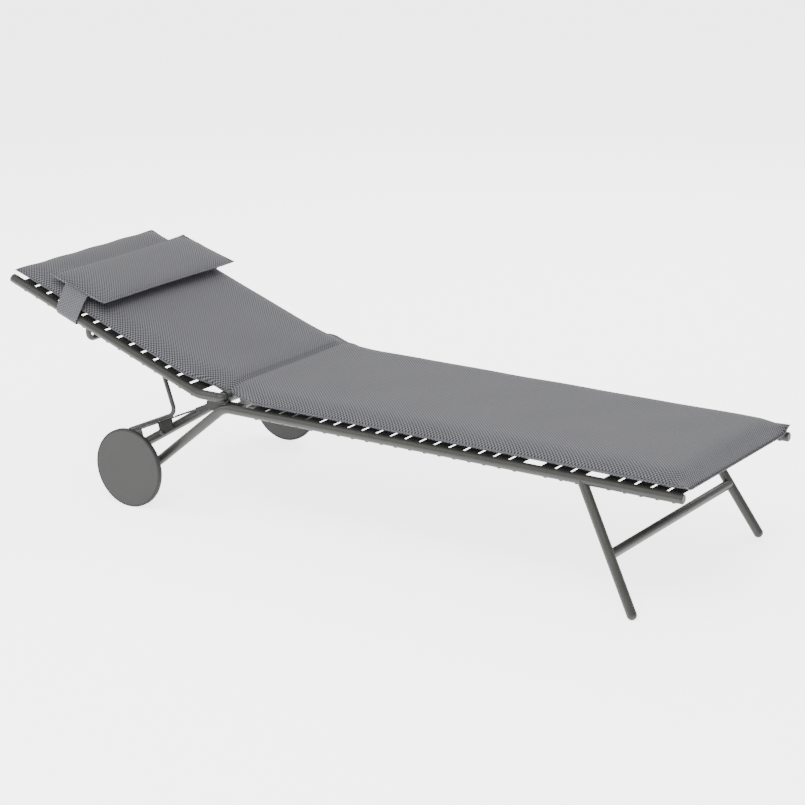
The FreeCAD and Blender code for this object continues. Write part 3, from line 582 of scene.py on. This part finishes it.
@dataclass
class Layout:
    """Places that the pieces share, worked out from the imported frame."""

    recline: float = math.radians(19.8)
    tube_radius: float = 12.5 * MM
    pad_gap: float = 0.5 * MM
    stub: float = 75.0 * MM
    hinge: Vector = field(init=False)
    corner: Vector = field(init=False)
    along: Vector = field(init=False)
    off: Vector = field(init=False)
    rail_half: float = field(init=False)
    rail_height: float = field(init=False)

    def __post_init__(self) -> None:
        """Read the hinge and the rails from the frame."""
        joints = {joint["name"]: joint for joint in frame["record"]["behaviour"]["joints"]}
        self.hinge = Vector(joints["back_recline"]["pos_m"])
        self.corner = self.hinge - Vector((self.stub, 0, 0))
        self.along = Vector((-math.cos(self.recline), 0, math.sin(self.recline)))
        self.off = Vector((math.sin(self.recline), 0, math.cos(self.recline)))
        low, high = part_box("side_frame_left")
        self.rail_half = (low.y + high.y) / 2
        self.rail_height = high.z - self.tube_radius

    def on_back(self, up: float, across: float, above: float) -> Vector:
        """Point on the back: up it from its lower corner, across, and above the rails' axes."""
        return self.corner + self.along * up + self.off * above + Vector((0, across, 0))


# ---------------------------------------------------------------- sub-assemblies


@dataclass
class FrameFinishes:
    """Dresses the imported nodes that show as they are."""

    finishes: dict[str, Finish] = field(default_factory=lambda: {
        "frame": POWDER_COAT, "plug": MATCHED_PLASTIC, "block": BLACK_PLASTIC, "bush": ACETAL,
        "steel": STAINLESS, "clip": MATCHED_PLASTIC, "wheel": WHEEL_PLASTIC, "tyre": TREAD_RUBBER,
        "strap": ELASTIC, "mesh_fabric": MESH})

    def dress(self) -> None:
        """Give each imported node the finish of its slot."""
        slots = {part["node"]: part["material_slot"] for part in frame["record"]["subparts"]}
        for name, node in frame["nodes"].items():
            material = PALETTE.get(self.finishes[slots[name]])
            node.data.materials.clear()
            node.data.materials.append(material)


@dataclass
class StrapRows:
    """The elastic bands of the bed, made by a Geometry Nodes row.

    A band is a flat web with rounded edges, stretched level between the rails.
    """

    layout: Layout
    width: float = 36.0 * MM
    pitch: float = 42.8 * MM
    thick: float = 2.5 * MM
    top_inset: float = 1.0 * MM
    seat_slots: int = 29
    seat_gaps: tuple[int, ...] = (5, 9)
    back_slots: int = 15
    steps: int = 28

    def band(self, name: str) -> bpy.types.Object:
        """One band at the origin: its width along X and its length along Y.

        Args:
            name: the band's name.

        Returns:
            The band.
        """
        low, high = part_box("seat_straps")
        half = (high.y - low.y) / 2
        spine = np.array([(0.0, y, 0.0) for y in np.linspace(-half, half, self.steps)])
        return swept_band(name, spine, np.array([1.0, 0.0, 0.0]), np.full(self.steps, self.width),
                          self.thick, ELASTIC)

    def row_tree(self) -> bpy.types.NodeTree:
        """Tree that repeats the band along a line.

        Returns:
            The tree.
        """
        tree, given = open_tree("strap_row", {
            "Band": "Geometry", "Count": "Int", "Start": "Vector", "Pitch": "Vector", "Tilt": "Vector",
            "Finish": "Material"}, "Bands")
        line = add_node(tree, "GeometryNodeMeshLine", {"mode": "OFFSET"}, {
            "Count": given["Count"], "Start Location": given["Start"], "Offset": given["Pitch"]})
        copies = add_node(tree, "GeometryNodeInstanceOnPoints", None, {
            "Points": line.outputs["Mesh"], "Instance": given["Band"], "Rotation": given["Tilt"]})
        close_tree(tree, copies, given["Finish"], "Bands")
        return tree

    def row(self, tree: bpy.types.NodeTree, count: int, start: Vector, step: Vector,
            tilt: float) -> bpy.types.Object:
        """One row of bands as a plain mesh.

        Args:
            tree: the row's tree.
            count: how many bands.
            start: middle of the first band.
            step: from one band to the next.
            tilt: how far the bands are turned about Y.

        Returns:
            The row.
        """
        return run_tree(self.band("bands"), tree, {
            "Count": count, "Start": tuple(start), "Pitch": tuple(step), "Tilt": (0.0, tilt, 0.0),
            "Finish": PALETTE.get(ELASTIC)})

    def join(self, name: str, rows: list[bpy.types.Object]) -> bpy.types.Object:
        """Several rows as one piece.

        Args:
            name: the piece's name.
            rows: the rows, which are used up.

        Returns:
            The piece.
        """
        work = bmesh.new()
        for row in rows:
            work.from_mesh(row.data)
            bpy.data.objects.remove(row)
        mesh = bpy.data.meshes.new(name)
        work.to_mesh(mesh)
        work.free()
        mesh.materials.append(PALETTE.get(ELASTIC))
        mesh.shade_smooth()
        return add_object(name, mesh)

    def build(self) -> list[bpy.types.Object]:
        """Build the seat's and the back's bands.

        Returns:
            The two pieces.
        """
        tree = self.row_tree()
        level = self.layout.tube_radius - self.top_inset - self.thick / 2
        seat_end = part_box("seat_straps")[1].x - self.width / 2
        rows = []
        slot = 0
        while slot < self.seat_slots:
            run = slot
            while run < self.seat_slots and run not in self.seat_gaps:
                run += 1
            start = Vector((seat_end - slot * self.pitch, 0, self.layout.rail_height + level))
            rows.append(self.row(tree, run - slot, start, Vector((-self.pitch, 0, 0)), 0.0))
            slot = run + 1
        seat = self.join("elastic_seat_bands", rows)
        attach(seat, Body.BASE.value)
        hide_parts("seat_straps")

        low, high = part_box("back_straps")
        half_band = self.layout.along * (self.width / 2)
        top_x = low.x - half_band.x
        up = (self.layout.corner.x - top_x + self.layout.off.x * level) / math.cos(self.layout.recline)
        start = self.layout.on_back(up, 0.0, level)
        back = self.join("elastic_back_bands", [self.row(
            tree, self.back_slots, start, -self.layout.along * self.pitch, self.layout.recline)])
        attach(back, Body.BACK.value)
        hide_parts("back_straps")
        return [seat, back]


@dataclass
class FoldedPad:
    """The long mesh pad, one sewn envelope that folds over the recline hinge.

    Its seam runs round the middle of its thickness. It lies flat on the bands between the rails,
    curls up to the seam over them, is drawn in at the right hinge and lies over the left one.
    """

    layout: Layout
    thick: float = 43.0 * MM
    seam: float = 16.0 * MM
    shoulder: float = 78.0 * MM
    keel: float = 46.0 * MM
    cell: float = 11.0 * MM
    fold_cell: float = 4.0 * MM
    pull_in: float = 4.0 * MM
    fold_pinch: float = 0.3
    fold_width: float = 6.0 * MM
    fold_swell: float = 4.0 * MM
    waist: float = 33.0 * MM
    hinge_lift: float = 29.5 * MM
    lift_start: float = 190.0 * MM
    lift_run: float = 68.0 * MM
    skin: float = 3.5 * MM
    foot_droop: float = 17.0 * MM
    foot_overhang: float = 5.0 * MM
    ripple: float = 1.1 * MM
    binding_width: float = 4.6 * MM
    binding_thick: float = 2.2 * MM
    stitch_pitch: float = 8.0 * MM
    stitch_length: float = 5.0 * MM
    fold_rows: int = 9
    lean_fade: float = 30 * MM
    overhang_run: float = 30 * MM
    top_sharp: float = 2.6
    keel_sharp: float = 2.2
    hinge_from: tuple[float, float] = (-110 * MM, -10 * MM)
    hinge_to: tuple[float, float] = (42 * MM, 135 * MM)
    ripple_run: float = 40 * MM
    droop_run: float = 70 * MM
    droop_corner: tuple[float, float] = (250 * MM, 286 * MM)
    swell_run: float = 45 * MM
    fold_seam: float = 0.4
    column_spread: float = 0.72
    blend_reach: float = 45 * MM
    fold_hold: float = 0.9

    def __post_init__(self) -> None:
        """Read the pad's own places from the frame."""
        seat_low, seat_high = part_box("seat_pad")
        self.foot_x = seat_high.x
        self.half = (seat_high.y - seat_low.y) / 2
        self.low = self.layout.tube_radius + self.layout.pad_gap
        self.seat_z = seat_low.z
        self.fold = self.foot_x - self.layout.hinge.x
        self.hinge_up = (self.layout.hinge - self.layout.corner).dot(self.layout.along)
        self.head_up = (self.layout.corner.x + self.layout.off.x * self.low
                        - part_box("back_pad")[0].x) / math.cos(self.layout.recline)
        self.total = self.fold + self.head_up - self.hinge_up

    def stations(self) -> np.ndarray:
        """Distances along the pad from its foot end, close together at the fold.

        Returns:
            The distances, in order.
        """
        near = np.arange(-self.fold_rows, self.fold_rows + 1) * self.fold_cell
        seat = np.linspace(0, self.fold + near[0], round(self.fold / self.cell))[:-1]
        back_rows = round((self.total - self.fold) / self.cell)
        back = np.linspace(self.fold + near[-1], self.total, back_rows)[1:]
        return np.concatenate([seat, self.fold + near, back])

    def place(self, station: float, across: float, height: float) -> Vector:
        """Point of the pad.

        Args:
            station: distance along the pad from its foot end.
            across: distance across it from its middle.
            height: height above the plane that it lies on.

        Returns:
            The point in the row frame.
        """
        near_fold = math.exp(-abs(self.fold - station) / self.lean_fade)
        lean = near_fold * height * math.tan(self.layout.recline / 2)
        if station <= self.fold:
            over = self.foot_overhang * (1 - self.ease(station, 0.0, self.overhang_run))
            return Vector((self.foot_x - station + lean + over, across, self.seat_z + height))
        up = self.hinge_up + (station - self.fold)
        return self.layout.on_back(up + lean, across, self.low + height)

    @staticmethod
    def crown(inset: float, reach: float, sharp: float) -> float:
        """Share of the full height at a distance in from the seam."""
        rise = 1 - min(max(inset / reach, 0.0), 1.0)
        return (1 - rise ** sharp) ** (1.6 / sharp)

    @staticmethod
    def ease(value: float, start: float, end: float) -> float:
        """Smooth step from 0 at start to 1 at end."""
        share = min(max((value - start) / (end - start), 0.0), 1.0)
        return share * share * (3 - 2 * share)

    def at_hinge(self, station: float) -> float:
        """How far a station is inside the stretch of hinge blocks and elbows, from 0 to 1."""
        past = station - self.fold
        return self.ease(past, *self.hinge_from) * (1 - self.ease(past, *self.hinge_to))

    def half_at(self, station: float, side: int) -> float:
        """Half width at a station: the sides pull in between the corners.

        Args:
            station: distance along the pad from its foot end.
            side: sign of Y on the side asked for.

        Returns:
            The half width.
        """
        first, last = (0.0, self.fold) if station <= self.fold else (self.fold, self.total)
        share = (station - first) / (last - first)
        half = self.half - self.pull_in * math.sin(math.pi * share) ** 0.5
        if side == Side.RIGHT.value:
            half -= self.waist * self.at_hinge(station)
        return half

    def heights(self, station: float, across: float, half: float) -> tuple[float, float, float]:
        """Heights of the pad's layers at a place.

        Args:
            station: distance along the pad from its foot end.
            across: distance across it from its middle.
            half: half width at the station.

        Returns:
            Heights of the top, the seam and the bottom.
        """
        inset = half - abs(across)
        end_inset = min(station, self.total - station)
        pinch = 1 - self.fold_pinch * math.exp(-((station - self.fold) / self.fold_width) ** 2)
        soft = 1 + 0.03 * math.sin(station * 21.0 + 1.3) * math.sin(across * 17.0 + station * 5.0)
        top, under = (self.crown(inset, reach, sharp) * self.crown(end_inset, reach, sharp)
                      for reach, sharp in ((self.shoulder, self.top_sharp), (self.keel, self.keel_sharp)))
        lift = 0.0
        if across > 0:
            lift = self.hinge_lift * self.at_hinge(station) * self.ease(
                abs(across), self.lift_start, self.lift_start + self.lift_run)
        near_end = 1 - self.ease(end_inset, 0.0, self.ripple_run)
        flutter = self.ripple * math.sin(across * 46.0 + 0.6) * near_end
        at_foot = 1 - self.ease(station, 0.0, self.droop_run)
        hang = at_foot * (1 - self.ease(abs(across), *self.droop_corner))
        seam = self.seam + flutter - self.foot_droop * hang
        bottom = max(seam * (1 - under), lift)
        past = abs(station - self.fold)
        swell = self.fold_swell * math.exp(-((past - self.swell_run) / self.swell_run) ** 2)
        full = seam + (self.thick + swell - seam) * top * soft
        peak = full * pinch + seam * self.fold_seam * (1 - pinch)
        return max(peak, bottom + self.skin * min(top * 3, 1.0)), max(seam, lift), bottom

    def build(self) -> list[bpy.types.Object]:
        """Build the envelope, its edge binding and its stitches.

        Returns:
            The three pieces.
        """
        stations = self.stations()
        columns = 2 * round(self.half / self.cell)
        reach = math.pi / 2 * self.column_spread
        shares = np.sin(np.linspace(-reach, reach, columns + 1)) / math.sin(reach)
        points, uvs, index, pinned = [], [], {}, []
        for row, station in enumerate(stations):
            for column, share in enumerate(shares):
                half = self.half_at(station, -1 if share < 0 else 1)
                across = share * half
                top, seam, bottom = self.heights(station, across, half)
                edge = row in (0, len(stations) - 1) or column in (0, columns)
                for layer, height in (("top", seam if edge else top), ("bottom", bottom)):
                    if edge and layer == "bottom":
                        index[layer, row, column] = index["top", row, column]
                        continue
                    index[layer, row, column] = len(points)
                    points.append(self.place(station, across, height))
                    uvs.append((station, across))
                    held = 1.0 if edge or layer == "bottom" else 0.0
                    folded = abs(station - self.fold) < self.fold_cell * 2
                    pinned.append(max(held, self.fold_hold if folded else 0.0))
        faces = envelope_faces(index, len(stations) - 1, columns)
        pad = make_piece("folded_mesh_pad", points, faces, MESH, np.array(uvs))
        Inflation(pressure=2.2, cap=4 * MM, slack=0.01).run(pad, np.array(pinned))
        rim = rim_of(len(stations) - 1, columns)
        smooth_once(pad, [index["top", row, column] for row, column in rim])
        route = [points[index["top", row, column]] for row, column in rim]
        binding = self.binding(route)
        stitches = StitchLine(self.stitch_pitch, self.stitch_length).build(
            "pad_edge_stitches", [spot + Vector((0, 0, self.binding_thick / 2)) for spot in route])
        reach = Vector((self.blend_reach, 0, 0))
        for piece in (pad, binding, stitches):
            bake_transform(piece)
        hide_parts("seat_pad", "back_pad")
        return [pad, binding, stitches]

    def binding(self, route: list[Vector]) -> bpy.types.Object:
        """Folded tape sewn round the seam.

        Args:
            route: the seam, point by point and closed.

        Returns:
            The tape.
        """
        spots = np.array([tuple(spot) for spot in route])
        ahead = np.roll(spots, -1, axis=0) - np.roll(spots, 1, axis=0)
        ahead /= np.linalg.norm(ahead, axis=1)[:, None]
        up = np.array([0.0, 0.0, 1.0])
        out = np.cross(ahead, up)
        out /= np.linalg.norm(out, axis=1)[:, None]
        lift = np.cross(out, ahead)
        around = 10
        points, uvs = [], []
        run = np.concatenate([[0.0], np.cumsum(np.linalg.norm(np.diff(spots, axis=0), axis=1))])
        for spot, side, rise, length in zip(spots, out, lift, run):
            for step in range(around):
                angle = 2 * math.pi * step / around
                points.append(spot + side * (self.binding_width / 2 * math.cos(angle) - 1.5 * MM)
                              + rise * (self.binding_thick / 2 * math.sin(angle)))
                uvs.append((length, self.binding_width * step / around))
        count = len(spots)
        faces = [[r * around + c, r * around + (c + 1) % around,
                  ((r + 1) % count) * around + (c + 1) % around, ((r + 1) % count) * around + c]
                 for r in range(count) for c in range(around)]
        return make_piece("pad_edge_binding", points, faces, BINDING, np.array(uvs))


@dataclass
class StitchLine:
    """A line of stitches, made by a Geometry Nodes tree that follows a seam."""

    pitch: float
    length: float
    radius: float = 0.5 * MM

    def tree(self) -> bpy.types.NodeTree:
        """Tree that lays one stitch at each step of the seam.

        Returns:
            The tree.
        """
        tree, given = open_tree("stitch_line", {
            "Seam": "Geometry", "Pitch": "Float", "Length": "Float", "Radius": "Float",
            "Finish": "Material"}, "Stitches")
        curve = add_node(tree, "GeometryNodeMeshToCurve", None, {"Mesh": given["Seam"]})
        steps = add_node(tree, "GeometryNodeResampleCurve", {"mode": "LENGTH"}, {
            "Curve": curve.outputs[0], "Length": given["Pitch"]})
        tangent = add_node(tree, "GeometryNodeInputTangent")
        turn = add_node(tree, "FunctionNodeAlignRotationToVector", {"axis": "X"},
                        {"Vector": tangent.outputs[0]})
        stitch = add_node(tree, "GeometryNodeMeshIcoSphere", {"Radius": 1.0, "Subdivisions": 1})
        size = add_node(tree, "ShaderNodeCombineXYZ", None, {
            "X": given["Length"], "Y": given["Radius"], "Z": given["Radius"]})
        copies = add_node(tree, "GeometryNodeInstanceOnPoints", None, {
            "Points": steps.outputs[0], "Instance": stitch.outputs[0],
            "Rotation": turn.outputs[0], "Scale": size.outputs[0]})
        close_tree(tree, copies, given["Finish"], "Stitches")
        return tree

    def build(self, name: str, route: list[Vector]) -> bpy.types.Object:
        """Sew a line of stitches.

        Args:
            name: the piece's name.
            route: the closed seam, point by point.

        Returns:
            The stitches as a plain mesh.
        """
        mesh = bpy.data.meshes.new(name)
        edges = [(i, i + 1) for i in range(len(route) - 1)] + [(len(route) - 1, 0)]
        mesh.from_pydata([tuple(spot) for spot in route], edges, [])
        piece = add_object(name, mesh)
        run_tree(piece, self.tree(), {
            "Pitch": self.pitch, "Length": self.length / 2, "Radius": self.radius,
            "Finish": PALETTE.get(THREAD)})
        piece.data.shade_smooth()
        return piece


@dataclass
class HeadPillow:
    """The head pillow and the two fabric tabs that hold it to the back rails."""

    layout: Layout
    setback: float = 360.0 * MM
    length: float = 192.0 * MM
    half: float = 287.0 * MM
    thick: float = 44.0 * MM
    base: float = 55.0 * MM
    head_drop: float = 5.0 * MM
    cell: float = 7.0 * MM
    tab_width: float = 79.0 * MM
    tab_foot_width: float = 62.0 * MM
    tab_thick: float = 1.4 * MM
    tab_room: float = 3.6 * MM
    tab_points: int = 14
    tab_turn: tuple[float, float] = (12, -112)
    row_spread: float = 0.94
    column_spread: float = 0.9
    end_waist: float = 0.035
    side_waist: float = 0.012
    under_hold: float = 0.6
    stitch_pitch: float = 6.0 * MM
    stitch_length: float = 4.0 * MM
    stitch_lift: float = 0.6 * MM

    @staticmethod
    def fullness(u: float, v: float) -> float:
        """Share of the full thickness at a place on the pillow, each from -1 to 1."""
        return max(1 - abs(u) ** 2.5, 0.0) ** 0.5 * max(1 - abs(v) ** 8.0, 0.0) ** 0.5

    @staticmethod
    def spread_out(share: float, spread: float) -> float:
        """Place from -1 to 1 of a share from 0 to 1, closer together at the two ends."""
        return math.sin((2 * share - 1) * math.pi / 2 * spread) / math.sin(math.pi / 2 * spread)

    def build(self) -> list[bpy.types.Object]:
        """Build the pillow, its stitched edge and its tabs.

        Returns:
            The pillow, its stitches and the right and left tabs.
        """
        rows = round(self.length / self.cell)
        columns = round(2 * self.half / self.cell)
        middle = self.setback + self.length / 2
        points, uvs, index, pinned = [], [], {}, []
        rise = self.base + self.thick * 0.5
        for row in range(rows + 1):
            u = self.spread_out(row / rows, self.row_spread)
            for column in range(columns + 1):
                v = self.spread_out(column / columns, self.column_spread)
                waist = 1 - self.end_waist * (1 - v ** 2)
                narrow = 1 - self.side_waist * (1 - u ** 2)
                up = middle + u * self.length / 2 * waist
                across = v * self.half * narrow
                edge = row in (0, rows) or column in (0, columns)
                full = self.fullness(u, v)
                for layer, share in (("top", 0.5), ("bottom", -0.5)):
                    if edge and layer == "bottom":
                        index[layer, row, column] = index["top", row, column]
                        continue
                    above = rise - self.head_drop * u + share * self.thick * (0.0 if edge else full)
                    above = max(above, self.base)
                    index[layer, row, column] = len(points)
                    points.append(self.layout.on_back(up, across, above))
                    uvs.append((up, across))
                    pinned.append(1.0 if edge else (self.under_hold if layer == "bottom" else 0.0))
        faces = envelope_faces(index, rows, columns)
        pillow = make_piece("mesh_head_pillow", points, faces, MESH, np.array(uvs))
        Inflation(pressure=4.0, cap=7 * MM, slack=0.025).run(pillow, np.array(pinned))
        rim = rim_of(rows, columns)
        smooth_once(pillow, [index["top", row, column] for row, column in rim if column in (0, columns)])
        route = [points[index["top", row, column]] for row, column in rim]
        stitches = StitchLine(self.stitch_pitch, self.stitch_length).build(
            "pillow_edge_stitches", [spot + self.layout.off * self.stitch_lift for spot in route])
        pieces = [pillow, stitches] + [self.tab(side, middle) for side in Side]
        for piece in pieces:
            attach(piece, Body.BACK.value)
        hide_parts("head_pillow")
        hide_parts("pillow_tabs")
        return pieces

    def tab(self, side: Side, middle: float) -> bpy.types.Object:
        """One tab: from under the pillow, over the rail's outside and round beneath it.

        Args:
            side: which side it is on.
            middle: how far up the back its middle is.

        Returns:
            The tab.
        """
        reach = self.layout.tube_radius + self.tab_room
        rail = self.layout.rail_half
        seam = self.base + self.thick / 2
        section = [(rail - 6 * MM, seam), (rail + 1 * MM, seam - 8 * MM), (rail + 6 * MM, seam - 20 * MM),
                   (rail + 10 * MM, seam - 38 * MM), (rail + 13.5 * MM, seam - 55 * MM)]
        for degrees in np.linspace(*self.tab_turn, self.tab_points):
            angle = math.radians(degrees)
            section.append((rail + reach * math.cos(angle), reach * math.sin(angle)))
        spine = np.array([tuple(self.layout.on_back(middle, side.value * across, above))
                          for across, above in section])
        share = np.linspace(0, 1, len(section))
        widths = self.tab_width + (self.tab_foot_width - self.tab_width) * share
        piece = swept_band(f"pillow_tab_{side.name.lower()}", spine, np.array(tuple(self.layout.along)),
                           widths, self.tab_thick, MESH)
        return piece


@dataclass
class Studio:
    """Pale floor, soft light and the camera."""

    camera_place: tuple[float, float, float] = (3.3977, -5.0778, 2.1181)
    camera_yaw: float = 0.5817
    camera_pitch: float = 0.2902
    lens_mm: float = 108.9
    sensor_mm: float = 36.0
    floor_glow: float = 3.0
    world_strength: float = 1.1
    floor_reach: float = 14.0

    def build(self) -> None:
        """Set the stage."""
        floor_mesh = bpy.data.meshes.new("studio_floor")
        reach = self.floor_reach
        floor_mesh.from_pydata([(-reach, -reach, 0), (reach, -reach, 0), (reach, reach, 0),
                                (-reach, reach, 0)], [], [(0, 1, 2, 3)])
        floor = add_object("studio_floor", floor_mesh)
        paper = PALETTE.get(Finish("studio_paper", "#fcfcfc", "#f9f9f9", 0.95, grain_height_mm=0.0))
        shader = next(node for node in paper.node_tree.nodes if node.type == "BSDF_PRINCIPLED")
        shader.inputs["Emission Color"].default_value = linear("#ffffff")
        shader.inputs["Emission Strength"].default_value = self.floor_glow
        floor_mesh.materials.append(paper)

        world = bpy.data.worlds.new("studio_world")
        world.use_nodes = True
        background = world.node_tree.nodes["Background"]
        background.inputs["Color"].default_value = linear("#fdfdfd")
        background.inputs["Strength"].default_value = self.world_strength
        bpy.context.scene.world = world
        for name, place, aim, energy, size in (
                ("key_light", (1.2, -3.2, 4.2), (0.0, 0.0, 0.3), 260.0, 3.2),
                ("fill_light", (-3.6, -1.6, 2.6), (-0.2, 0.0, 0.3), 100.0, 2.6),
                ("rim_light", (-0.6, 3.4, 3.4), (0.0, 0.0, 0.3), 130.0, 3.0)):
            data = bpy.data.lights.new(name, "AREA")
            data.energy = energy
            data.size = size
            light = add_object(name, data)
            light.location = place
            light.rotation_euler = (Vector(aim) - Vector(place)).to_track_quat("-Z", "Y").to_euler()

        data = bpy.data.cameras.new("camera")
        data.lens = self.lens_mm
        data.sensor_width = self.sensor_mm
        camera = add_object("camera", data)
        camera.location = self.camera_place
        camera.rotation_euler = Euler((math.pi / 2 - self.camera_pitch, 0.0, self.camera_yaw))
        bpy.context.scene.camera = camera


def main() -> None:
    """Build the studio and every sub-assembly, and report each piece."""
    logging.basicConfig(level=logging.INFO, format="%(name)s: %(message)s")
    Studio().build()
    layout = Layout()
    FrameFinishes().dress()
    for maker in (StrapRows(layout), FoldedPad(layout), HeadPillow(layout)):
        for piece in maker.build():
            LOG.info("%s has %d faces", piece.name, len(piece.data.polygons))


if __name__ == "__main__":
    main()
